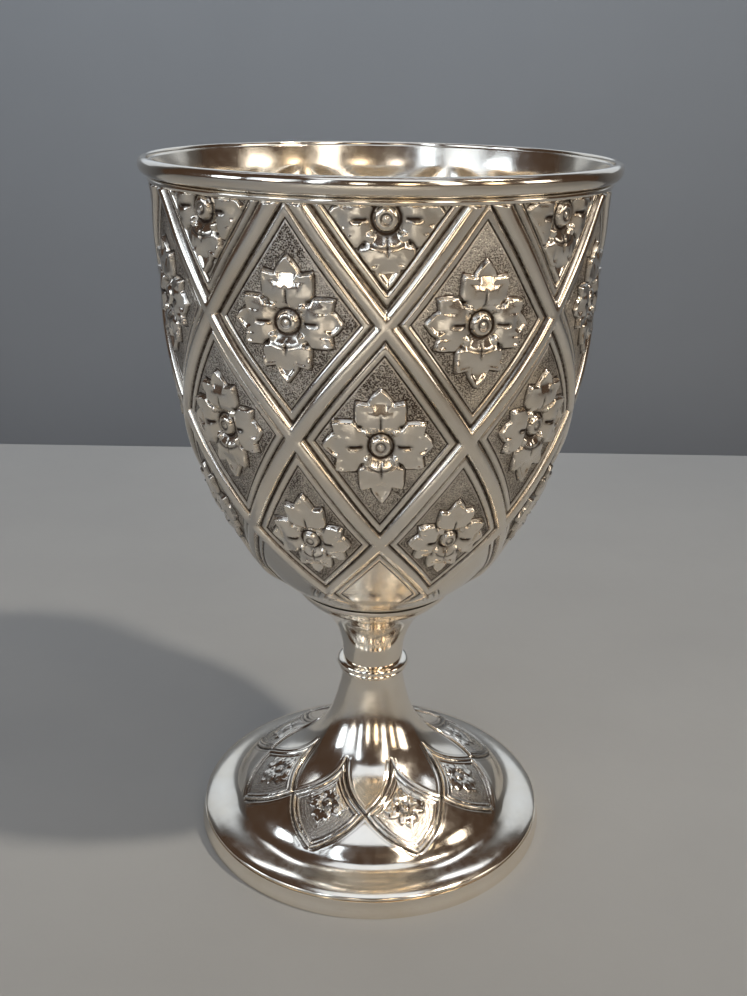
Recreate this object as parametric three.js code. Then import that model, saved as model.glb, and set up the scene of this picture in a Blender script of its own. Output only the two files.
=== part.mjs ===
// A lidless silver goblet: a deep bowl on a short waisted stem and a domed foot, soldered together.
// Millimetres, +Z up, origin at the centre of the base, in the plane that it stands on.
// Every piece is a round body about the Z axis. Its outline is a list of (radius, height) points
// that climbs the outside and comes down the inside, so that the faces point out.
import * as THREE from "three";

// Driving dimensions
const HEIGHT = 155;
const MOUTH_RADIUS = 48;
const BASE_RADIUS = 41.15;
const BOWL_WALL = 0.8;
const FOOT_WALL = 0.8;
const JOINT_GAP = 0.06; // the film of solder between two pieces
const COLUMNS = 64; // facets round the bowl, the foot and their wires
const STEM_COLUMNS = 48;

// Foot: brim, upright band and stiffening wire
const BRIM_RADIUS = 40.4;
const BAND_HEIGHT = 4;
const BAND_WALL = 1.6;
const BAND_FLARE = 0.65; // how much wider the band is at the table than at the brim
const WIRE_SIDE = 1.7;

// Heights of the joints up the stem, and the bore that the sleeve passes through
const FOOT_TOP = 39.2;
const RING_TOP = 42.1;
const SPOOL_TOP = 56.75;
const STEM_BORE = 5.95;
const SLEEVE_WALL = 1;
const SLEEVE_LOW = 34.5;

// Bowl: flat seat below, straight band behind the two wires of the lip
const SEAT_HEIGHT = 60;
const SEAT_RADIUS = 13.5;
const LIP_LOW = 149.6;
const LIP_LOW_RADIUS = 45.05;
const LIP_HIGH = HEIGHT - 0.7;
const LIP_HIGH_RADIUS = 46.1;
const STEP_LOW = 150.2;
const STEP_HIGH = 151.4;
const STEP_RADIUS = 46.35;

const polished = { color: 0xd8d2c6, metalness: 1, roughness: 0.16 };
const chased = { color: 0xc4bdaf, metalness: 1, roughness: 0.3 };
const unpolished = { color: 0xb9b4aa, metalness: 1, roughness: 0.45 };

const at = (radius, height) => new THREE.Vector2(radius, height);

// Moves each point of a climbing outline off its line, towards the outside when positive.
function offset(points, distance) {
  return points.map((point, i) => {
    const before = points[Math.max(i - 1, 0)];
    const after = points[Math.min(i + 1, points.length - 1)];
    const along = after.clone().sub(before).normalize();
    return at(point.x + distance * along.y, point.y - distance * along.x);
  });
}

// The point at a height on the straight outer face of the bowl's lip, clear of it by the solder.
function onLip(height) {
  const radius = THREE.MathUtils.mapLinear(
    height,
    LIP_LOW,
    LIP_HIGH,
    LIP_LOW_RADIUS,
    LIP_HIGH_RADIUS,
  );
  return at(radius + JOINT_GAP, height);
}

// A named mesh of an outline turned about Z. The turn closes the outline on its first point,
// unless both of its ends are on the axis.
function turned(name, outline, columns, finish) {
  const first = outline[0];
  const points = first.x === 0 ? outline : [...outline, first];
  const geometry = new THREE.LatheGeometry(points, columns).rotateX(Math.PI / 2);
  const mesh = new THREE.Mesh(geometry, new THREE.MeshStandardMaterial(finish));
  mesh.name = name;
  return mesh;
}

// One raised sheet: flat bottom, round belly, lip turned slightly out.
function bowl() {
  const curve = new THREE.SplineCurve([
    at(SEAT_RADIUS, SEAT_HEIGHT),
    at(17.5, 61.8),
    at(24.8, 68),
    at(30.1, 76),
    at(35.5, 86),
    at(39.5, 98),
    at(42.3, 112),
    at(43.8, 126),
    at(44.3, 138),
    at(LIP_LOW_RADIUS, LIP_LOW),
  ]);
  const outside = [...curve.getPoints(14), at(LIP_HIGH_RADIUS, LIP_HIGH)];
  const inside = offset(outside, -BOWL_WALL).reverse();
  const bottom = at(0, SEAT_HEIGHT);
  const outline = [bottom, ...outside, ...inside, at(0, SEAT_HEIGHT + BOWL_WALL)];
  return turned("bowl", outline, COLUMNS, chased);
}

// The heavy upper wire of the lip: it covers the edge of the bowl and makes the mouth.
function lipRoll() {
  const outline = [
    onLip(STEP_HIGH + 0.12),
    at(MOUTH_RADIUS - 1.2, STEP_HIGH + 0.3),
    at(MOUTH_RADIUS - 0.35, STEP_HIGH + 1),
    at(MOUTH_RADIUS, HEIGHT - 1.5),
    at(MOUTH_RADIUS - 0.15, HEIGHT - 0.6),
    at(MOUTH_RADIUS - 0.7, HEIGHT - 0.1),
    at(MOUTH_RADIUS - 1.2, HEIGHT),
    at(MOUTH_RADIUS - 1.7, HEIGHT - 0.15),
    onLip(HEIGHT - 0.55),
  ];
  return turned("lip_roll", outline, COLUMNS, polished);
}

// The thin half-round wire under the roll, at the top of the chasing.
function lipStep() {
  const outline = [
    onLip(STEP_LOW),
    at(STEP_RADIUS - 0.3, STEP_LOW + 0.15),
    at(STEP_RADIUS, (STEP_LOW + STEP_HIGH) / 2),
    at(STEP_RADIUS - 0.25, STEP_HIGH - 0.12),
    onLip(STEP_HIGH),
  ];
  return turned("lip_step", outline, COLUMNS, polished);
}

// The cast collar that the bowl sits in, stepped round its edge.
function calyx() {
  const low = SPOOL_TOP + JOINT_GAP;
  const seat = SEAT_HEIGHT - JOINT_GAP;
  const outline = [
    at(STEM_BORE, low),
    at(13.3, low),
    at(14.1, 57.4),
    at(15.7, 59),
    at(16.2, 59.8),
    at(16.9, 60.1),
    at(17.35, 60.8),
    at(17.3, 61.4),
    at(15.35, 60.35),
    at(SEAT_RADIUS - 0.3, seat),
    at(STEM_BORE, seat),
  ];
  return turned("calyx", outline, STEM_COLUMNS, polished);
}

// The short waisted stem, spreading into the calyx.
function spool() {
  const low = RING_TOP + JOINT_GAP;
  const outline = [
    at(STEM_BORE, low),
    at(6.95, low),
    at(7.05, 44.5),
    at(7.4, 47),
    at(8.05, 49.2),
    at(8.9, 51.2),
    at(10.1, 53.3),
    at(11.6, 55.2),
    at(13.2, SPOOL_TOP),
    at(STEM_BORE, SPOOL_TOP),
  ];
  return turned("spool", outline, STEM_COLUMNS, polished);
}

// The moulding that covers the joint of spool and foot: a bead over a thin fillet.
function stemRing() {
  const low = FOOT_TOP + JOINT_GAP;
  const outline = [
    at(STEM_BORE, low),
    at(7.5, low),
    at(7.85, low + 0.45),
    at(7.7, low + 0.9),
    at(8.15, low + 1.25),
    at(8.3, low + 1.85),
    at(8, RING_TOP - 0.3),
    at(7.4, RING_TOP),
    at(STEM_BORE, RING_TOP),
  ];
  return turned("stem_ring", outline, STEM_COLUMNS, polished);
}

// The hidden sleeve that lines up foot, ring, spool and calyx.
function stemSleeve() {
  const outer = STEM_BORE - 0.1;
  const inner = outer - SLEEVE_WALL;
  const high = SEAT_HEIGHT - 2 * JOINT_GAP;
  const outline = [at(outer, SLEEVE_LOW), at(outer, high), at(inner, high), at(inner, SLEEVE_LOW)];
  return turned("stem_sleeve", outline, STEM_COLUMNS, unpolished);
}

// One raised sheet: sloping brim, domed shoulder, trumpet neck.
function foot() {
  const curve = new THREE.SplineCurve([
    at(32.3, 7.5),
    at(31.2, 9.4),
    at(28, 12.4),
    at(22, 15.9),
    at(17.2, 18.3),
    at(14, 20.8),
    at(11.6, 24),
    at(9.4, 28.5),
    at(8.1, 33),
    at(7.2, 37),
    at(7, FOOT_TOP),
  ]);
  const outside = curve.getPoints(13);
  const socketLow = FOOT_TOP - 3;
  const inside = offset(outside, -FOOT_WALL).filter((point) => point.y < socketLow);
  const outline = [
    at(BRIM_RADIUS - FOOT_WALL, BAND_HEIGHT),
    at(BRIM_RADIUS - 0.1, BAND_HEIGHT + 0.15),
    at(BRIM_RADIUS, BAND_HEIGHT + 0.7),
    at(BRIM_RADIUS - 0.4, BAND_HEIGHT + 1.05),
    at(32.9, 7.1),
    ...outside,
    at(STEM_BORE, FOOT_TOP),
    at(STEM_BORE, socketLow),
    ...inside.reverse(),
    at(31.9, 6.4),
  ];
  return turned("foot", outline, COLUMNS, chased);
}

// The upright strip under the brim, spreading a little to the table.
function footBand() {
  const high = BAND_HEIGHT - JOINT_GAP;
  const outline = [
    at(BASE_RADIUS - BAND_WALL, 0),
    at(BASE_RADIUS - 0.15, 0),
    at(BASE_RADIUS, 0.4),
    at(BASE_RADIUS - 0.45, 2.6),
    at(BASE_RADIUS - BAND_FLARE, high),
    at(BASE_RADIUS - BAND_WALL, high),
  ];
  return turned("foot_band", outline, COLUMNS, polished);
}

// The square wire inside the strip that stiffens the base.
function footWire() {
  const outer = BASE_RADIUS - BAND_WALL - JOINT_GAP;
  const inner = outer - WIRE_SIDE;
  const outline = [at(outer, 0), at(outer, WIRE_SIDE), at(inner, WIRE_SIDE), at(inner, 0)];
  return turned("foot_wire", outline, COLUMNS, unpolished);
}

const goblet = new THREE.Group();
goblet.add(
  bowl(),
  lipRoll(),
  lipStep(),
  calyx(),
  spool(),
  stemRing(),
  stemSleeve(),
  foot(),
  footBand(),
  footWire(),
);

export default goblet;
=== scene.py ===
"""A chased silver goblet: the visible surfaces, finishes and studio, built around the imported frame."""

import math

import bpy
import numpy as np
from bpy.props import FloatProperty, FloatVectorProperty, IntProperty, PointerProperty
from mathutils import Matrix, Vector


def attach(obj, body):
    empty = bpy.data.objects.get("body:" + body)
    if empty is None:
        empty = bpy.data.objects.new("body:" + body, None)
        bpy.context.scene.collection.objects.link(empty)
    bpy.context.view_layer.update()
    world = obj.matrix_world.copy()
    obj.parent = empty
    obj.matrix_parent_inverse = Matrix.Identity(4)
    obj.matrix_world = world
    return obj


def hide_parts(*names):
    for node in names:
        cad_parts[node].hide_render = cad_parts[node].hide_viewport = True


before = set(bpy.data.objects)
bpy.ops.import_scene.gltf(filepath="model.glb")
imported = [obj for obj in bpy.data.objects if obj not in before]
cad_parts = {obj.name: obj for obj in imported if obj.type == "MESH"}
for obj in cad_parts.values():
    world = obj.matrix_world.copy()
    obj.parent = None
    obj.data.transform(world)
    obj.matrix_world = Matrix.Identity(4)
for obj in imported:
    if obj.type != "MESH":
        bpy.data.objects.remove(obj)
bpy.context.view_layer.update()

bl_info = {
    "name": "Chased Silver Goblet",
    "version": (1, 0, 0),
    "blender": (4, 5, 0),
    "location": "3D View > Sidebar > Goblet",
    "description": "Builds a silver goblet chased with a lattice of flowered lozenges",
    "category": "Object",
}

# Geometry is worked out in millimetres and written in metres.
MM = 1000.0
BODY = "root"

# The lattice has eight lozenges round. Ribs cross where column plus row is even.
REPEATS = 8
HALF_LOZENGE = math.radians(180 / REPEATS)
LATTICE_TURN = math.radians(-20.9)
ROW_HEIGHTS = (70.0, 85.4, 107.6, 129.8, 153.6)
LATTICE_LOW = -0.42
LATTICE_TOP = 150.15
LOZENGE_HALF_WIDTH = 16.9
LOZENGE_HALF_HEIGHT = 22.2
TOP_FLOWER_ROW = 3.77

# The foot's leaves: tips, side crossings and apexes, as radii on the dome.
LEAF_TURN = math.radians(20.0)
LEAF_RADII = (31.8, 24.3, 13.3)
LEAF_STEP = 10.6
DOME_RADIUS = 32.5
LEAF_FLOWER_SHRINK = 2.0
LEAF_FLOWER_RELIEF = 0.3
LEAF_FLOWER_PLACE = 1.12

# One petal, in millimetres: its root, half its width, its point's start and half its point's width.
PETAL_ROOT = 1.6
PETAL_WIDTH = 4.6
POINT_START = 8.0
POINT_WIDTH = 2.25
PETAL_REACHES = (10.0, 10.4, 10.9, 11.4)

# The middle of a flower, in millimetres.
BOSS_RADIUS = 1.95
BEAD_PLACE = 2.75
BEAD_RADIUS = 0.85
PIT_PLACE = 3.75

# The bowl: from one rib to the next, where its wall starts, and the mesh columns round its plain parts.
PANEL_ACROSS = 26.4
WALL_RADIUS = 16
RING_COLUMNS = 36 * REPEATS
ROW_LIMITS = (LATTICE_LOW - 0.1, 4.1)

# A lattice point's two whole numbers are packed into one, this far apart.
KEY_STRIDE = 100_000

# The studio, in metres: the floor's and wall's reach, the ring of bright panels, and the camera.
STUDIO_SIDE = 1.6
FLOOR_NEAR = -1.2
WALL_LOW = -0.7
WALL_TOP = 1.0
ROOM_DISTANCE = 1.2
ROOM_LOW = 0.2
ROOM_POWER = 13.0
CAMERA_PLACE = (0, -0.23471, 0.17130)
CAMERA_TURNS = (0.0946, 90 - 20.926, 0.890)


# ---------------------------------------------------------------- outlines from the frame


def section(node):
    """The node's section in front of the axis: an ordered run of (radius, height), and if it closes."""
    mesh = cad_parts[node].data
    corners = np.empty(len(mesh.vertices) * 3)
    mesh.vertices.foreach_get("co", corners)
    corners = corners.reshape(-1, 3) * MM
    ends = np.empty(len(mesh.edges) * 2, dtype=int)
    mesh.edges.foreach_get("vertices", ends)
    in_plane = (np.abs(corners[:, 0]) < 1e-4) & (corners[:, 1] < 1e-4)
    links = {}
    for a, b in ends.reshape(-1, 2):
        if in_plane[a] and in_plane[b]:
            p, q = (tuple(np.round((-corners[i, 1], corners[i, 2]), 4) + 0.0) for i in (a, b))
            if p != q:
                links.setdefault(p, set()).add(q)
                links.setdefault(q, set()).add(p)
    loose = sorted(p for p, near in links.items() if len(near) == 1)
    run = [loose[0] if loose else min(links)]
    left = set(links) - set(run)
    while left & links[run[-1]]:
        run.append(min(left & links[run[-1]]))
        left.discard(run[-1])
    return outward(np.array(run)), not loose


def outward(run):
    """The run turned so that a surface revolved from it faces out."""
    ahead = np.roll(run, -1, axis=0)
    area = np.sum(run[:, 0] * ahead[:, 1] - ahead[:, 0] * run[:, 1])
    return run if area > 0 else run[::-1]


def turning(run):
    """The angle that a closed run turns through at each point."""
    before = run - np.roll(run, 1, axis=0)
    after = np.roll(run, -1, axis=0) - run
    cross = before[:, 0] * after[:, 1] - before[:, 1] * after[:, 0]
    return np.abs(np.arctan2(cross, np.sum(before * after, axis=1)))


def spline(knots, values, at):
    """A natural cubic spline through values at the knots, taken at the given places."""
    values = np.asarray(values, float)
    gap = np.diff(knots)
    size = len(knots)
    system = np.eye(size)
    right = np.zeros(values.shape)
    for i in range(1, size - 1):
        system[i, i - 1 : i + 2] = gap[i - 1], 2 * (gap[i - 1] + gap[i]), gap[i]
        right[i] = 6 * ((values[i + 1] - values[i]) / gap[i] - (values[i] - values[i - 1]) / gap[i - 1])
    bend = np.linalg.solve(system, right)
    cell = np.clip(np.searchsorted(knots, at) - 1, 0, size - 2)
    span = gap[cell]
    up = np.asarray(at) - np.asarray(knots)[cell]
    down = span - up
    if values.ndim > 1:
        span, up, down = (x[:, None] for x in (span, up, down))
    return (
        (bend[cell] * down**3 + bend[cell + 1] * up**3) / (6 * span)
        + (values[cell] / span - bend[cell] * span / 6) * down
        + (values[cell + 1] / span - bend[cell + 1] * span / 6) * up
    )


def smooth_span(points, step):
    """Points along the smooth curve through the given ones, about a step apart, ends included."""
    length = np.concatenate([[0], np.cumsum(np.linalg.norm(np.diff(points, axis=0), axis=1))])
    count = max(1, round(length[-1] / step))
    at = np.linspace(0, length[-1], count + 1)
    if len(points) == 2:
        return points[0] + np.outer(at / length[-1], points[1] - points[0])
    return spline(length, points, at)


def finer(run, closed, step, sharp=math.radians(60)):
    """The run with its curves drawn finer, keeping every corner that turns more than sharp."""
    if closed:
        corners = np.nonzero(turning(run) > sharp)[0]
        run = np.roll(run, -corners[0], axis=0)
        corners = list(corners - corners[0]) + [len(run)]
        run = np.vstack([run, run[:1]])
    else:
        inner = np.nonzero(turning(run)[1:-1] > sharp)[0] + 1
        corners = [0, *inner, len(run) - 1]
    spans = [smooth_span(run[a : b + 1], step) for a, b in zip(corners, corners[1:])]
    return np.vstack([span[:-1] for span in spans] + ([] if closed else [spans[-1][-1:]]))


# ---------------------------------------------------------------- meshes


def make_object(name, points, faces, marks=None):
    """A smooth-shaded mesh object from points in millimetres, with float marks on its points."""
    mesh = bpy.data.meshes.new(name)
    sizes = np.concatenate([np.full(len(block), block.shape[1]) for block in faces])
    loops = np.concatenate([block.ravel() for block in faces])
    mesh.vertices.add(len(points))
    mesh.vertices.foreach_set("co", (np.asarray(points) / MM).astype(np.float32).ravel())
    mesh.loops.add(len(loops))
    mesh.loops.foreach_set("vertex_index", loops.astype(np.int32))
    mesh.polygons.add(len(sizes))
    starts = np.concatenate([[0], np.cumsum(sizes)[:-1]])
    mesh.polygons.foreach_set("loop_start", starts.astype(np.int32))
    mesh.update(calc_edges=True)
    mesh.validate()
    mesh.shade_smooth()
    for mark, values in (marks or {}).items():
        layer = mesh.attributes.new(mark, "FLOAT", "POINT")
        layer.data.foreach_set("value", np.asarray(values, np.float32))
    made = bpy.data.objects.new(name, mesh)
    bpy.context.scene.collection.objects.link(made)
    return made


def polar(radius, angle, height):
    """Points at a radius and height, with the angle measured from the front towards +X."""
    radius, angle, height = np.broadcast_arrays(radius, angle, height)
    return np.stack([radius * np.sin(angle), -radius * np.cos(angle), height], axis=-1)


def ring_quads(rings, columns, first=0, closed=False):
    """Quads between successive rings of points, numbered ring by ring from first."""
    ring = np.arange(rings if closed else rings - 1)
    column = np.arange(columns)
    low, col = np.meshgrid(ring, column, indexing="ij")
    high, ahead = (low + 1) % rings, (col + 1) % columns
    quads = [low * columns + col, low * columns + ahead, high * columns + ahead, high * columns + col]
    return first + np.stack(quads, axis=-1).reshape(-1, 4)


def turned(name, node, step, columns):
    """A piece of revolution with the frame's own section, drawn finer, which stands for the node."""
    run, closed = section(node)
    run = finer(run, closed, step)
    angles = np.arange(columns) * 2 * math.pi / columns
    points = polar(run[:, :1], angles[None, :], run[:, 1:]).reshape(-1, 3)
    made = make_object(name, points, [ring_quads(len(run), columns, closed=closed)])
    made.data.set_sharp_from_angle(angle=math.radians(50))
    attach(made, BODY)
    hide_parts(node)
    return made


def zip_rings(low, low_angles, high, high_angles):
    """Triangles that join two rings of points, each sorted by angle and running once round."""
    triangles = []
    i = j = 0
    low_count, high_count = len(low), len(high)
    start = np.argmin(np.abs(high_angles - low_angles[0]))
    high, high_angles = np.roll(high, -start), np.roll(high_angles, -start)
    high_angles = np.unwrap(high_angles)
    low_ahead = np.append(low_angles, low_angles[0] + 2 * math.pi)
    high_ahead = np.append(high_angles, high_angles[0] + 2 * math.pi)
    while i < low_count or j < high_count:
        a, b = low[i % low_count], high[j % high_count]
        if j >= high_count or (i < low_count and low_ahead[i + 1] <= high_ahead[j + 1]):
            i += 1
            triangles.append((a, low[i % low_count], b))
        else:
            j += 1
            triangles.append((a, high[j % high_count], b))
    return np.array(triangles)


# ---------------------------------------------------------------- chasing


def ease(low, high, x):
    """0 below low, 1 above high, and a smooth rise between."""
    t = np.clip((x - low) / (high - low), 0, 1)
    return t * t * (3 - 2 * t)


def dent(x, width):
    """A smooth dent, 1 deep at x = 0."""
    return np.exp(-((x / width) ** 2))


def petal(across, along, reach, sizes, hollow):
    """A broad petal with two shoulders and a point: its height, the depth inside its edge, its vein."""
    side = np.abs(across)
    root = np.clip((along - PETAL_ROOT) / 3.4, 0, 1)
    cheek = PETAL_WIDTH * np.sin(root * math.pi / 2) ** 0.8
    cheek = cheek - 0.25 * (np.maximum(along - 6.5, 0) / 1.8) ** 2
    broad = np.minimum.reduce([cheek - side, 0.95 * (7.6 + 0.2 * side - along), along - PETAL_ROOT])
    beyond = np.clip((along - POINT_START) / (reach - POINT_START), 0, 1)
    steep = POINT_WIDTH * 1.5 * beyond**0.5 / (reach - POINT_START)
    point = (POINT_WIDTH * (1 - beyond**1.5) - side) / np.hypot(1, steep)
    point = np.where((along > 5) & (along < reach), point, -np.hypot(side, 2 * (along - reach)) - 0.01)
    inside = np.maximum(broad, point)
    rise = 0.12 + 0.88 * ease(2.3, 4.5, along)
    droop = along - 1.9 * (side / 4.2) ** 2
    fall = 1 - 0.75 * ease(5.3, 8.6, droop)
    bow = 1 - 0.4 * (across / PETAL_WIDTH) ** 2
    rim = 0.36 * ease(1.2, 0.3, inside) * ease(5.6, 7.2, along)
    curl = 0.22 * ease(8.0, 9.8, along)
    pleat = 0.14 * dent(side - 2.1, 0.35) * ease(4.6, 6.6, along) * ease(8.6, 7.4, along)
    vein = dent(across, hollow) * ease(2.7, 3.4, along) * ease(6.3, 5.0, along)
    height = sizes.petal_height * MM * (rise * fall * bow + rim + curl - pleat - 0.34 * vein)
    return height * ease(-0.04, 0.3, inside), inside, vein * (inside > 0)


def flower(x, y, sizes, shake):
    """A chased flower: height, darkening and matting at points in millimetres from its middle. The
    darkening is blackening in its lines, moat and pits, and painted shade on the scallop below its boss.
    """
    sine, cosine = math.sin(shake[0]), math.cos(shake[0])
    x, y = x * cosine - y * sine + shake[1], x * sine + y * cosine + shake[2]
    away = np.hypot(x, y)
    height, dark = np.zeros(x.shape), np.zeros(x.shape)
    inside = np.full(x.shape, -9.0)
    # The side petals lie under the upper and lower ones.
    for k, (across, along) in enumerate(((y, x), (-y, -x), (x, y), (-x, -y))):
        hollow = 0.42 if k < 2 else 0.2
        stretch = 1 + shake[3 + k]
        out = along * stretch + 0.4 * shake[7 + k]
        h, edge, vein = petal(across * stretch, out, PETAL_REACHES[k], sizes, hollow)
        if k < 2:
            edge = np.minimum(edge, (along - np.abs(across) - 0.12) / math.sqrt(2))
            h = h * ease(-0.04, 0.3, edge)
        over = edge > -0.28
        height = np.where(edge > 0, h, np.where(over, np.minimum(height, 0.0), height))
        dark = np.where(over, np.maximum(vein, dent(edge + 0.12, 0.24)), dark)
        inside = np.maximum(inside, edge)
    height = height - 0.2 * dent(inside + 0.14, 0.24)
    for sx, sy in ((1, 1), (1, -1), (-1, -1), (-1, 1)):
        bead = np.hypot(x - sx * BEAD_PLACE, y - sy * BEAD_PLACE)
        pit = np.hypot(x - sx * PIT_PLACE, y - sy * PIT_PLACE)
        ball = BEAD_RADIUS * np.sqrt(np.clip(1 - (bead / BEAD_RADIUS) ** 2, 0, 1))
        height = np.maximum(height, ball) - 0.3 * dent(pit, 0.5)
        dark = np.maximum(np.where(bead < 0.8, 0.0, dark), 0.95 * dent(pit, 0.5))
    # The scallop below the boss is a shallow dent, and its dark arc is painted shade: a dark reflection
    # put only on the side below the boss.
    scallop_dent_and_painted_shade = dent(away - 4.5, 0.22) * (np.abs(x) < 2.6) * (y < 0)
    frill = dent(away - 3.6, 0.4) * ease(0.1, 0.8, np.cos(8 * np.arctan2(y, x)))
    height = height + 0.2 * frill - 0.15 * scallop_dent_and_painted_shade
    moat = dent(away - 2.35, 0.38)
    dome = np.sqrt(np.clip(1 - (away / BOSS_RADIUS) ** 2, 0, 1))
    boss = 0.95 * dome**0.7 - 0.4 * dent(away - 0.55, 0.35)
    height = np.where(away < 2.8, np.minimum(height, ease(2.2, 3.0, away)), height)
    height = np.where(away < BOSS_RADIUS, boss, height) - 0.22 * moat
    eye = 0.85 * dent(away - 0.85, 0.22)
    # Painted shade: the scallop's dark arc is laid in with the blackened moat and eye.
    dark = np.maximum.reduce([np.where(away < 1.9, 0.0, dark), moat, eye, 0.8 * scallop_dent_and_painted_shade])
    matt = ease(0.0, -0.25, inside) * (away > 2.4)
    return height, dark, matt


def row_height(t):
    """The height on the bowl of a lattice row."""
    return spline(np.arange(len(ROW_HEIGHTS)), ROW_HEIGHTS, np.asarray(t).ravel()).reshape(np.shape(t))


def band(d, sizes):
    """Across a rib and the strips beside it: height and oxide, d away from its middle."""
    half = sizes.rib_width * MM / 2
    strip = sizes.strip_width * MM
    rib = sizes.rib_height * MM * np.clip(1 - (d / half) ** 2, 0, 1) ** 0.62
    crown = 0.12 + 0.1 * np.clip(1 - ((d - half - strip / 2 - 0.1) / (strip / 2)) ** 2, 0, 1)
    on_strip = ease(half, half + 0.15, d) * ease(half + strip + 0.25, half + strip + 0.05, d)
    inner = dent(d - half - 0.03, 0.24)
    outer = dent(d - half - strip - 0.2, 0.19)
    height = rib + on_strip * crown - 0.22 * inner - sizes.groove_depth * MM * outer
    return height, np.maximum(0.9 * inner, outer), half + strip + 0.3


def bowl_chasing(c, t, radius, sizes, seed):
    """Height, darkening and matting of the bowl's chasing at lattice column c and row t; the darkening is
    blackening in the lines, with painted shade on the flowers' scallops.
    """
    draw = np.random.default_rng(seed)
    u, v = (c + t) / 2, (c - t) / 2
    width = HALF_LOZENGE * radius
    tall = LOZENGE_HALF_HEIGHT
    across = 2 * width * tall / np.hypot(width, tall)
    full = 2 * LOZENGE_HALF_WIDTH * tall / math.hypot(LOZENGE_HALF_WIDTH, tall)
    scale = (across / full) ** 0.65
    d = np.minimum(np.abs(u - np.round(u)), np.abs(v - np.round(v))) * across / scale
    height, dark, edge = band(d, sizes)
    ground = ease(edge, edge + 0.35, d)
    height = height * scale - 0.1 * ground
    column, row = np.floor(u) + np.floor(v) + 1, np.floor(u) - np.floor(v)
    matt = np.where((row < 0.5) | (t < 0), 0.0, ground)
    for k in range(2 * REPEATS):
        for r in (1, 2, 3, 4):
            here = (np.mod(column, 2 * REPEATS) == k) & (row == r)
            if (k + r) % 2 == 0 or not here.any():
                continue
            shake = draw.normal(0, 1, 11) * np.array([0.03, 0.15, 0.15] + [0.03] * 4 + [0.05] * 4)
            middle = TOP_FLOWER_ROW if r == 4 else r
            x = (np.mod(c[here] - k + REPEATS, 2 * REPEATS) - REPEATS) * LOZENGE_HALF_WIDTH
            y = (t[here] - middle) * tall
            h, o, m = flower(x, y, sizes, shake)
            height[here] += h * ground[here]
            dark[here] = np.maximum(dark[here], o * ground[here])
            matt[here] = np.minimum(matt[here], m)
    fade = ease(-0.34, -0.06, t)
    return height * fade, dark * fade, matt * fade


def cell_steps(count):
    """Places across one lozenge, closest on its ribs and their grooves."""
    near = np.array([0, 0.45, 0.9, 1.3, 1.55, 1.67, 1.8, 2.35, 2.95, 3.15, 3.3, 3.45, 3.7]) / PANEL_ACROSS
    inner = np.linspace(near[-1], 1 - near[-1], count - 2 * len(near) + 3)
    return np.concatenate([near[:-1], inner, (1 - near[1:-1])[::-1]])


def lattice_points(count, low, high):
    """The bowl's rib-aligned points as column and row, and the quads between them."""
    places = cell_steps(count)
    count = len(places)
    last = REPEATS * count
    along_u, along_v = np.arange(-count, 11 * count + last), np.arange(-4 * count, last + count)
    u, v = np.meshgrid(along_u, along_v, indexing="ij")

    def where(a):
        return a // count + places[a % count]

    t = where(u) - where(v)
    near = (t > low) & (t < high)
    quad = near[:-1, :-1] | near[1:, :-1] | near[:-1, 1:] | near[1:, 1:]
    base = (u + v)[:-1, :-1]
    quad &= (base >= 0) & (base < 2 * last)
    iu, iv = np.nonzero(quad)
    corners = [(iu, iv), (iu, iv + 1), (iu + 1, iv + 1), (iu + 1, iv)]
    keys = []
    for a, b in corners:
        uu, vv = u[a, b], v[a, b]
        round_trip = (uu + vv) // (2 * last)
        keys.append((uu - round_trip * last) * KEY_STRIDE + (vv - round_trip * last))
    keys = np.stack(keys, axis=-1)
    unique, index = np.unique(keys, return_inverse=True)
    vv = (unique + KEY_STRIDE // 2) % KEY_STRIDE - KEY_STRIDE // 2
    uu = (unique - vv) // KEY_STRIDE
    column, row = where(uu) + where(vv), where(uu) - where(vv)
    return column, np.clip(row, low, high), index.reshape(-1, 4)


def outer_rim(column, row, limit):
    """The lattice points on one limit, sorted by column."""
    on = np.nonzero(np.abs(row - limit) < 1e-9)[0]
    return on[np.argsort(column[on], kind="stable")]


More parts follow.
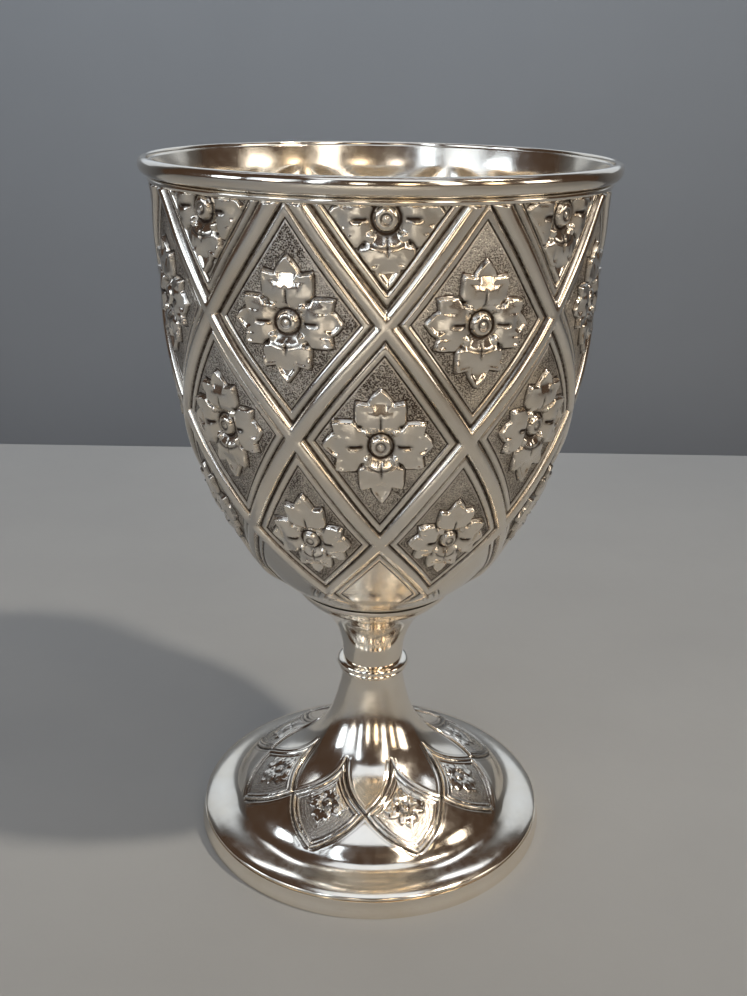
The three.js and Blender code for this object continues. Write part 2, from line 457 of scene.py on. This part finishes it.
def chased_bowl(sizes):
    """The bowl, one raised sheet: chased outside, its reverse softly dented inside."""
    run, _ = section("bowl")
    run = finer(run, False, 0.5)
    top = int(np.argmax(run[:, 1]))
    outer, inner = run[: top + 1], run[top + 1 :]
    rising = outer[np.argmax(outer[:, 0] > WALL_RADIUS) :]

    rows = np.linspace(*ROW_LIMITS, 600)
    high = float(np.interp(LATTICE_TOP, row_height(rows), rows))
    column, row, quads = lattice_points(sizes.lozenge_steps, LATTICE_LOW, high)
    free = ease(LATTICE_LOW, 0.4, row) * ease(high, high - 0.5, row)
    round_once = math.pi * column / REPEATS
    sway = 0.016 * free * np.sin(3 * round_once + 1.9 * row)
    drop = 0.012 * free * np.sin(5 * round_once - 2.3 * row)
    level = row_height(row + drop)
    radius = np.interp(level, rising[:, 1], rising[:, 0])
    lift, dark, matt = bowl_chasing(column, row, radius, sizes, seed=7)
    slope = np.gradient(rising[:, 0], rising[:, 1])
    lean = np.arctan(np.interp(level, rising[:, 1], slope))
    angle = LATTICE_TURN + HALF_LOZENGE * (column + sway)
    points = [polar(radius + lift * np.cos(lean), angle, level - lift * np.sin(lean))]
    marks = [np.stack([dark, matt], axis=-1)]
    faces = [quads]

    columns = RING_COLUMNS
    regular = np.arange(columns) * 2 * math.pi / columns
    first = len(column)
    below = outer[(outer[:, 1] < row_height(LATTICE_LOW) - 0.2) & (outer[:, 0] > 0.1)]
    above = rising[rising[:, 1] > LATTICE_TOP + 0.08]
    inside = inner[inner[:, 0] > 0.1]
    back = soft_reverse(inside, regular)
    for part in (below, above, inside):
        offset = back if part is inside else 0.0
        points.append(polar(part[:, :1] + offset, regular[None, :], part[:, 1:]).reshape(-1, 3))
        marks.append(np.zeros((len(part) * columns, 2)))
    faces.append(ring_quads(len(below), columns, first))
    upper = first + len(below) * columns
    faces.append(ring_quads(len(above) + len(inside), columns, upper))

    def spread(ring):
        shift = np.mod(LATTICE_TURN + HALF_LOZENGE * column[ring], 2 * math.pi)
        order = np.argsort(shift, kind="stable")
        return ring[order], shift[order]

    ring, angles = spread(outer_rim(column, row, high))
    faces.append(zip_rings(ring, angles, upper + np.arange(columns), regular))
    ring, angles = spread(outer_rim(column, row, LATTICE_LOW))
    last_below = first + (len(below) - 1) * columns
    faces.append(zip_rings(last_below + np.arange(columns), regular, ring, angles))

    total = sum(len(p) for p in points)
    points.append(np.array([[0, 0, outer[0, 1]], [0, 0, inner[-1, 1]]]))
    marks.append(np.zeros((2, 2)))
    ring, ahead = np.arange(columns), (np.arange(columns) + 1) % columns
    faces.append(np.stack([first + ahead, first + ring, np.full(columns, total)], axis=-1))
    floor = total - columns
    faces.append(np.stack([floor + ring, floor + ahead, np.full(columns, total + 1)], axis=-1))
    dark, matt = np.vstack(marks).T
    made = make_object("chased_bowl", np.vstack(points), faces, {"oxide_and_painted_shade": dark, "matting": matt})
    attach(made, BODY)
    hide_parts("bowl")
    return made


def soft_reverse(inside, angles):
    """How far the inner surface follows the ribs and flowers outward, softened by the sheet."""
    rows = np.linspace(LATTICE_LOW, 4.1, 600)
    t = np.interp(inside[:, 1], row_height(rows), rows)[:, None]
    c = ((angles - LATTICE_TURN) / HALF_LOZENGE)[None, :]
    u, v = (c + t) / 2, (c - t) / 2
    d = np.minimum(np.abs(u - np.round(u)), np.abs(v - np.round(v))) * PANEL_ACROSS
    x = (np.mod(c + np.round(t), 2) - 1) * LOZENGE_HALF_WIDTH
    y = (t - np.round(t)) * LOZENGE_HALF_HEIGHT
    away = np.hypot(x, y)
    lift = 0.7 * dent(d, 1.5) + 0.5 * dent(away - 6.0, 2.4) - 0.2 * dent(away, 1.6)
    shown = ease(66, 74, inside[:, 1]) * ease(150.5, 146.5, inside[:, 1]) * (inside[:, 0] > WALL_RADIUS)
    return lift * shown[:, None]


def foot_chasing(angle, place, radius, sizes, seed):
    """Height, darkening and matting of the leaves on the foot, with painted shade on the flowers'
    scallops; place runs 0, 1, 2 at the leaf's radii.
    """
    draw = np.random.default_rng(seed)
    turn = (angle - LEAF_TURN) / HALF_LOZENGE
    near = np.mod(turn + 1, 2) - 1
    number = np.round((turn - near) / 2).astype(int) % REPEATS
    low, high = np.clip(place, 0, 1), np.clip(2 - place, 0, 1)
    half = np.where(place < 1, low**0.74, high**1.22)
    outer_steep, inner_steep = 0.74 * np.maximum(low, 0.04) ** -0.26, 1.22 * np.maximum(high, 0.04) ** 0.22
    steep = np.where(place < 1, outer_steep, inner_steep)
    span = HALF_LOZENGE * radius
    gap = (half - np.abs(near)) / np.hypot(1 / span, steep / LEAF_STEP)
    gap = np.where((place < 0) | (place > 2), -9.0, gap)
    line = dent(gap - 0.02, 0.24)
    second = dent(gap - 1.12, 0.16)
    third = dent(gap - 1.95, 0.14)
    fine = 0.5 * (1 - np.cos(2 * math.pi * (gap - 1.95) / 0.72))
    fine = fine * ease(1.95, 2.2, gap) * ease(5.6, 4.6, gap)
    outside = dent(gap + 0.95, 0.14) * (gap > -3)
    ridge = 0.34 * np.clip(1 - ((gap - 0.57) / 0.48) ** 2, 0, 1)
    ridge = ridge + 0.2 * np.clip(1 - ((gap - 1.53) / 0.36) ** 2, 0, 1)
    field = ease(1.95, 2.4, gap)
    height = ease(-0.05, 0.1, gap) * ridge - 0.36 * line - 0.18 * second - 0.16 * third
    height = height - 0.07 * outside - 0.06 * field - 0.08 * fine
    dark = np.maximum.reduce([line, 0.85 * second, 0.8 * third, 0.5 * fine, 0.35 * outside])
    matt = 0.4 * field
    for k in range(REPEATS):
        here = (number == k) & (gap > 1.5)
        shake = draw.normal(0, 1, 11) * np.array([0.06, 0.3, 0.3] + [0.05] * 8)
        x = near[here] * span[here] * LEAF_FLOWER_SHRINK
        y = (place[here] - LEAF_FLOWER_PLACE) * LEAF_STEP * LEAF_FLOWER_SHRINK
        h, o, m = flower(x, y, sizes, shake)
        height[here] += LEAF_FLOWER_RELIEF * h * field[here]
        petals = 1 - m
        dark[here] = np.maximum(dark[here] * (1 - petals), 0.8 * o * field[here])
        matt[here] = np.minimum(matt[here], m)
    return height, dark, matt


def softened(run, near, rounds):
    """The closed run with the points near one radius eased together, so that a bend there is soft."""
    for _ in range(rounds):
        middle = (np.roll(run, 1, axis=0) + np.roll(run, -1, axis=0)) / 2
        share = dent(run[:, :1] - near, 1.8) * (run[:, 1:] > 3)
        run = run + 0.5 * share * (middle - run)
    return run


def chased_foot(sizes):
    """The foot, one raised sheet with eight chased leaves round its dome."""
    run, _ = section("foot")
    run = softened(finer(run, True, 0.32), DOME_RADIUS, 40)
    brim, neck = int(np.argmax(run[:, 0])), int(np.argmax(run[:, 1]))
    order = np.arange(len(run))
    outside = (order >= brim) & (order <= neck) if brim < neck else (order >= brim) | (order <= neck)
    belt = outside & (run[:, 0] < LEAF_RADII[0] + 1.6) & (run[:, 0] > LEAF_RADII[2] - 1.6)
    keep = belt | (order % 3 == 0) | (turning(run) > math.radians(20))
    run, belt = run[keep], belt[keep]
    columns = sizes.foot_columns
    angles = np.arange(columns) * 2 * math.pi / columns
    level = run[belt]
    places = np.linspace(-0.3, 2.3, 200)
    at = np.interp(-level[:, 0], -spline(np.arange(3) * 1.0, LEAF_RADII, places), places)
    grid = np.broadcast_arrays(angles[None, :], at[:, None], level[:, :1])
    lift, dark, matt = foot_chasing(*(np.array(g) for g in grid), sizes, seed=11)
    ahead = np.gradient(level, axis=0)
    normal = np.stack([ahead[:, 1], -ahead[:, 0]], axis=-1)
    normal /= np.linalg.norm(normal, axis=1, keepdims=True)
    radius = np.repeat(run[:, :1], columns, axis=1)
    height = np.repeat(run[:, 1:], columns, axis=1)
    radius[belt] += lift * normal[:, :1]
    height[belt] += lift * normal[:, 1:]
    marks = np.zeros((2, len(run), columns))
    marks[0][belt], marks[1][belt] = dark, matt
    points = polar(radius, angles[None, :], height).reshape(-1, 3)
    faces = [ring_quads(len(run), columns, closed=True)]
    dark, matt = marks.reshape(2, -1)
    made = make_object("chased_foot", points, faces, {"oxide_and_painted_shade": dark, "matting": matt})
    made.data.set_sharp_from_angle(angle=math.radians(62))
    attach(made, BODY)
    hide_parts("foot")
    return made


# ---------------------------------------------------------------- finishes


def new_material(name):
    """A new material, its node tree and its bare shader."""
    made = bpy.data.materials.new(name)
    made.use_nodes = True
    return made, made.node_tree, made.node_tree.nodes["Principled BSDF"]


def add(tree, kind, **settings):
    """A node of this kind with its settings and input defaults."""
    node = tree.nodes.new(kind)
    for key, value in settings.items():
        if key in node.inputs:
            node.inputs[key].default_value = value
        else:
            setattr(node, key, value)
    return node


def scaled(tree, factor):
    """Object coordinates in units of 1/factor metre."""
    place = add(tree, "ShaderNodeTexCoord")
    grow = add(tree, "ShaderNodeVectorMath", operation="SCALE", Scale=factor)
    tree.links.new(place.outputs["Object"], grow.inputs[0])
    return grow.outputs[0]


def noise(tree, factor, detail=4.0, rough=0.55):
    """A noise value at a scale of 1/factor metre."""
    node = add(tree, "ShaderNodeTexNoise", Scale=1.0, Detail=detail, Roughness=rough)
    tree.links.new(scaled(tree, factor), node.inputs["Vector"])
    return node.outputs["Fac"]


def remap(tree, value, low, high, to_low, to_high):
    """The value moved from one range to another, clamped."""
    node = add(tree, "ShaderNodeMapRange", clamp=True)
    for name, number in (("From Min", low), ("From Max", high), ("To Min", to_low), ("To Max", to_high)):
        node.inputs[name].default_value = number
    tree.links.new(value, node.inputs["Value"])
    return node.outputs["Result"]


def combine(tree, operation, first, second):
    """Two values or numbers joined by a maths operation."""
    node = add(tree, "ShaderNodeMath", operation=operation)
    for socket, value in zip(node.inputs, (first, second)):
        if isinstance(value, (int, float)):
            socket.default_value = value
        else:
            tree.links.new(value, socket)
    return node.outputs[0]


def blend_colour(tree, amount, first, second):
    """Two colours, plain or linked, mixed by an amount."""
    node = add(tree, "ShaderNodeMix", data_type="RGBA")
    tree.links.new(amount, node.inputs["Factor"])
    for socket, value in zip((node.inputs["A"], node.inputs["B"]), (first, second)):
        colour = next(s for s in node.inputs if s.name == socket.name and s.type == "RGBA")
        if isinstance(value, bpy.types.NodeSocket):
            tree.links.new(value, colour)
        else:
            colour.default_value = (*value[:3], 1)
    return next(s for s in node.outputs if s.type == "RGBA")


def silver(name, finish, gloss, chased):
    """Sterling silver: warm and polished, finely scratched, and on chased work matted, blackened in its
    lines and darkened by painted shade on the flowers' scallops.
    """
    made, tree, shader = new_material(name)
    shader.inputs["Metallic"].default_value = 1.0
    clouds = noise(tree, 55.0, 5.0, 0.6)
    specks = noise(tree, 420.0, 3.0, 0.6)
    colour = blend_colour(tree, remap(tree, clouds, 0.42, 0.7, 0.0, 0.55), finish.bright, finish.warm)
    rough = remap(tree, specks, 0.3, 0.75, gloss, gloss + 0.1)
    rub = add(tree, "ShaderNodeTexNoise", Scale=1.0, Detail=3.0, Roughness=0.7)
    stretch = add(tree, "ShaderNodeMapping")
    stretch.inputs["Rotation"].default_value = (0.5, 0.9, 0.3)
    stretch.inputs["Scale"].default_value = (1.0, 14.0, 14.0)
    tree.links.new(scaled(tree, 260.0), stretch.inputs["Vector"])
    tree.links.new(stretch.outputs[0], rub.inputs["Vector"])
    bump = add(tree, "ShaderNodeBump", Strength=0.05, Distance=0.0001)
    tree.links.new(rub.outputs["Fac"], bump.inputs["Height"])
    normal = bump.outputs["Normal"]
    if chased:
        # This mark holds the blackening of the chased lines and pits and the painted shade of the flowers'
        # scallops.
        oxide_and_painted_shade = add(tree, "ShaderNodeAttribute", attribute_name="oxide_and_painted_shade").outputs["Fac"]
        matting = add(tree, "ShaderNodeAttribute", attribute_name="matting").outputs["Fac"]
        grain = noise(tree, 1500.0, 2.0, 0.5)
        punch = add(tree, "ShaderNodeTexVoronoi", Scale=1.0, feature="F1")
        tree.links.new(scaled(tree, 3400.0), punch.inputs["Vector"])
        dots = punch.outputs["Distance"]
        patch = remap(tree, noise(tree, 130.0), 0.35, 0.65, 0.45, 1.0)
        ground = combine(tree, "MULTIPLY", matting, combine(tree, "MULTIPLY", patch, finish.ground_tone))
        pits = combine(tree, "MULTIPLY", ground, remap(tree, dots, 0.15, 0.7, 1.5, 0.5))
        depth = combine(tree, "MULTIPLY", oxide_and_painted_shade, remap(tree, grain, 0.3, 0.6, 1.35, 1.1))
        dull = combine(tree, "MAXIMUM", pits, depth)
        dull = remap(tree, dull, 0.0, 1.0, 0.0, 1.0)
        # The dark colour goes on the blackened lines and on the painted shade alike.
        colour = blend_colour(tree, dull, colour, finish.oxide_and_painted_shade)
        rough = combine(tree, "ADD", rough, combine(tree, "MULTIPLY", matting, 0.24))
        rough = combine(tree, "ADD", rough, combine(tree, "MULTIPLY", oxide_and_painted_shade, 0.2))
        stipple = add(tree, "ShaderNodeBump", Distance=0.00022)
        tree.links.new(combine(tree, "MULTIPLY", matting, 0.75), stipple.inputs["Strength"])
        tree.links.new(combine(tree, "ADD", dots, grain), stipple.inputs["Height"])
        tree.links.new(normal, stipple.inputs["Normal"])
        normal = stipple.outputs["Normal"]
    tree.links.new(colour, shader.inputs["Base Color"])
    tree.links.new(rough, shader.inputs["Roughness"])
    tree.links.new(normal, shader.inputs["Normal"])
    return made


def matte(name, colour, other, factor, bumpy):
    """A dull painted or laid surface with faint mottling, for the studio."""
    made, tree, shader = new_material(name)
    mottle = remap(tree, noise(tree, factor, 6.0, 0.6), 0.35, 0.65, 0.0, 1.0)
    mixed = blend_colour(tree, mottle, colour, other)
    tree.links.new(mixed, shader.inputs["Base Color"])
    shader.inputs["Roughness"].default_value = 0.75
    bump = add(tree, "ShaderNodeBump", Strength=bumpy, Distance=0.0004)
    tree.links.new(noise(tree, factor * 30, 4.0, 0.6), bump.inputs["Height"])
    tree.links.new(bump.outputs["Normal"], shader.inputs["Normal"])
    return made


# ---------------------------------------------------------------- settings


class GobletSizes(bpy.types.PropertyGroup):
    """Sizes of the chased work."""

    rib_width: FloatProperty(
        name="Rib width", description="Width of a raised rib", default=0.0033, unit="LENGTH", precision=5
    )
    rib_height: FloatProperty(
        name="Rib height",
        description="How far a rib stands proud",
        default=0.00112,
        unit="LENGTH",
        precision=5,
    )
    strip_width: FloatProperty(
        name="Strip width",
        description="Plain strip on each side of a rib",
        default=0.00145,
        unit="LENGTH",
        precision=5,
    )
    groove_depth: FloatProperty(
        name="Groove depth",
        description="Depth of the line round a panel",
        default=0.00024,
        unit="LENGTH",
        precision=5,
    )
    petal_height: FloatProperty(
        name="Petal height",
        description="How far a petal stands proud",
        default=0.00115,
        unit="LENGTH",
        precision=5,
    )
    lozenge_steps: IntProperty(
        name="Lozenge steps", description="Mesh steps across one lozenge", default=104, min=40, max=160
    )
    foot_columns: IntProperty(
        name="Foot columns", description="Mesh columns round the foot", default=720, min=240, max=1440
    )


class GobletFinish(bpy.types.PropertyGroup):
    """Colours of the silver."""

    bright: FloatVectorProperty(
        name="Polished silver",
        description="Clean polished silver",
        subtype="COLOR",
        default=(0.945, 0.88, 0.785),
    )
    warm: FloatVectorProperty(
        name="Warm tarnish", description="Thin warm tarnish", subtype="COLOR", default=(0.86, 0.745, 0.58)
    )
    # The dark colour of the blackened lines, also used for the painted shade on the flowers' scallops.
    oxide_and_painted_shade: FloatVectorProperty(
        name="Oxide",
        description="Black oxide left in the recesses",
        subtype="COLOR",
        default=(0.06, 0.041, 0.03),
    )
    ground_tone: FloatProperty(
        name="Ground darkness",
        description="How dark the matted ground is",
        default=0.93,
        min=0,
        max=1,
        subtype="FACTOR",
    )


class GobletStage(bpy.types.PropertyGroup):
    """The studio round the goblet."""

    floor_colour: FloatVectorProperty(
        name="Floor", description="Pale floor", subtype="COLOR", default=(0.362, 0.357, 0.345)
    )
    wall_colour: FloatVectorProperty(
        name="Wall", description="Grey wall", subtype="COLOR", default=(0.345, 0.37, 0.396)
    )
    table_edge: FloatProperty(
        name="Table edge",
        description="From the goblet's axis to the far edge of the floor",
        default=0.278,
        unit="LENGTH",
    )
    wall_distance: FloatProperty(
        name="Wall distance", description="From the goblet's axis to the wall", default=0.8, unit="LENGTH"
    )
    lens: FloatProperty(
        name="Lens", description="Focal length on a 36 mm sensor", default=40.61, unit="CAMERA"
    )


# ---------------------------------------------------------------- operators


class GobletBowl(bpy.types.Operator):
    """Build the chased bowl"""

    bl_idname = "goblet.bowl"
    bl_label = "Chased bowl"

    def execute(self, context):
        bowl = chased_bowl(context.scene.goblet_sizes)
        bowl.data.materials.append(silver("chased silver", context.scene.goblet_finish, 0.13, True))
        return {"FINISHED"}


class GobletFoot(bpy.types.Operator):
    """Build the chased foot"""

    bl_idname = "goblet.foot"
    bl_label = "Chased foot"

    def execute(self, context):
        foot = chased_foot(context.scene.goblet_sizes)
        finish = silver("chased silver of the foot", context.scene.goblet_finish, 0.1, True)
        foot.data.materials.append(finish)
        return {"FINISHED"}


class GobletTurnings(bpy.types.Operator):
    """Build the plain wires, stem and rings"""

    bl_idname = "goblet.turnings"
    bl_label = "Wires, stem and rings"

    def execute(self, context):
        finish = context.scene.goblet_finish
        polished = silver("polished silver", finish, 0.08, False)
        bench = silver("unpolished silver", finish, 0.3, False)
        shown = {
            "mouth_wire": ("lip_roll", 0.25, 288),
            "mouth_step": ("lip_step", 0.2, 288),
            "stem_calyx": ("calyx", 0.25, 160),
            "stem_spool": ("spool", 0.4, 160),
            "stem_bead": ("stem_ring", 0.15, 160),
            "brim_band": ("foot_band", 0.4, 288),
        }
        for name, (node, step, columns) in shown.items():
            piece = turned(name, node, step, columns)
            piece.data.materials.append(polished)
        hidden = {"brim_wire": ("foot_wire", 0.5, 288), "inner_sleeve": ("stem_sleeve", 1.0, 96)}
        for name, (node, step, columns) in hidden.items():
            piece = turned(name, node, step, columns)
            piece.data.materials.append(bench)
        return {"FINISHED"}


def slab(name, corners, material):
    """One flat four-cornered surface of the studio."""
    points = np.array(corners, float) * MM
    made = make_object(name, points, [np.array([[0, 1, 2, 3]])])
    made.data.materials.append(material)
    return made


def soft_light(name, place, aim, size, power, colour, spread=180):
    """A rectangular soft light at a place, turned to its aim."""
    data = bpy.data.lights.new(name, "AREA")
    data.shape = "RECTANGLE"
    data.size, data.size_y = size
    data.energy = power
    data.spread = math.radians(spread)
    data.color = colour
    made = bpy.data.objects.new(name, data)
    made.visible_camera = False
    made.location = place
    made.rotation_euler = (Vector(aim) - Vector(place)).to_track_quat("-Z", "Y").to_euler()
    bpy.context.scene.collection.objects.link(made)
    return made


class GobletStudio(bpy.types.Operator):
    """Build the floor, wall, lights and camera"""

    bl_idname = "goblet.studio"
    bl_label = "Studio"

    def execute(self, context):
        scene = context.scene
        stage = scene.goblet_stage
        edge, back = stage.table_edge, stage.wall_distance
        left, right, low, top = -STUDIO_SIDE, STUDIO_SIDE, WALL_LOW, WALL_TOP
        near = FLOOR_NEAR
        floor = matte("pale floor", stage.floor_colour, [c * 0.94 for c in stage.floor_colour], 9.0, 0.1)
        wall = matte("grey wall", stage.wall_colour, [c * 0.96 for c in stage.wall_colour], 5.0, 0.05)
        slab("floor", [(left, near, 0), (right, near, 0), (right, edge, 0), (left, edge, 0)], floor)
        slab("wall", [(left, back, low), (right, back, low), (right, back, top), (left, back, top)], wall)

        middle = (0, 0, 0.08)
        front = (-0.08, -0.55, 0)
        warm, cool, cream = (1.0, 0.82, 0.58), (0.74, 0.86, 1.0), (1.0, 0.93, 0.82)
        sky = (0.8, 0.89, 1.0)
        soft_light("key", (0.62, -0.25, 1.0), middle, (0.06, 0.06), 0.42, cream, spread=48)
        soft_light("window", (-0.95, -0.8, 0.55), middle, (0.5, 0.6), 1.2, cool)
        soft_light("table_lamp", (-0.08, -0.55, 0.9), front, (0.3, 0.3), 1.0, cream, spread=36)
        soft_light("back_panel", (0.0, back - 0.05, 0.52), (0, -1, 0.3), (1.8, 0.46), 1.3, sky)
        soft_light("wall_wash", (0.0, 0.4, 0.95), (0, back, 0.05), (1.2, 0.2), 2.5, sky, spread=120)
        soft_light("ceiling", (0.0, -0.36, 1.1), middle, (0.8, 0.6), 1.5, sky)
        # Bright things round the room, low enough to show in the bowl and on the stem.
        room = (
            (-72, 0.30, 0.34, cool),
            (-48, 0.16, 0.34, cream),
            (-28, 0.13, 0.85, cool),
            (-9, 0.12, 0.34, cream),
            (12, 0.15, 0.34, warm),
            (31, 0.20, 0.95, cream),
            (52, 0.14, 0.34, warm),
            (74, 0.30, 0.34, cream),
        )
        for number, (azimuth, wide, tall, colour) in enumerate(room):
            side, ahead = math.sin(math.radians(azimuth)), math.cos(math.radians(azimuth))
            place = (ROOM_DISTANCE * side, -ROOM_DISTANCE * ahead, ROOM_LOW + tall / 2)
            soft_light(f"room_{number}", place, middle, (wide, tall), ROOM_POWER * wide * tall, colour)

        world = bpy.data.worlds.new("studio air")
        world.use_nodes = True
        world.node_tree.nodes["Background"].inputs["Color"].default_value = (0.06, 0.038, 0.026, 1)
        world.node_tree.nodes["Background"].inputs["Strength"].default_value = 1.0
        scene.world = world
        scene.view_settings.view_transform = "Standard"

        lens = bpy.data.cameras.new("camera")
        lens.lens = stage.lens
        lens.sensor_width = 36.0
        camera = bpy.data.objects.new("camera", lens)
        pose = Matrix.Translation(CAMERA_PLACE)
        for degrees, axis in zip(CAMERA_TURNS, "ZXZ"):
            pose = pose @ Matrix.Rotation(math.radians(degrees), 4, axis)
        camera.matrix_world = pose
        scene.collection.objects.link(camera)
        scene.camera = camera
        return {"FINISHED"}


class GobletPanel(bpy.types.Panel):
    """The goblet's tools in the sidebar"""

    bl_idname = "VIEW3D_PT_goblet"
    bl_label = "Silver Goblet"
    bl_space_type = "VIEW_3D"
    bl_region_type = "UI"
    bl_category = "Goblet"

    def draw(self, context):
        for operator in OPERATORS:
            self.layout.operator(operator.bl_idname)
        for group in (getattr(context.scene, name) for name in GROUPS):
            box = self.layout.box()
            for name in group.__annotations__:
                box.prop(group, name)


OPERATORS = (GobletBowl, GobletFoot, GobletTurnings, GobletStudio)
GROUPS = {"goblet_sizes": GobletSizes, "goblet_finish": GobletFinish, "goblet_stage": GobletStage}


def register():
    """Register the settings, operators and panel."""
    for group in GROUPS.values():
        bpy.utils.register_class(group)
    for name, group in GROUPS.items():
        setattr(bpy.types.Scene, name, PointerProperty(type=group))
    for operator in (*OPERATORS, GobletPanel):
        bpy.utils.register_class(operator)


def unregister():
    """Remove what register added."""
    for operator in (GobletPanel, *reversed(OPERATORS)):
        bpy.utils.unregister_class(operator)
    for name, group in reversed(GROUPS.items()):
        delattr(bpy.types.Scene, name)
        bpy.utils.unregister_class(group)


def main():
    """Build the goblet and its studio."""
    register()
    bpy.ops.goblet.bowl()
    bpy.ops.goblet.foot()
    bpy.ops.goblet.turnings()
    bpy.ops.goblet.studio()


if __name__ == "__main__":
    main()
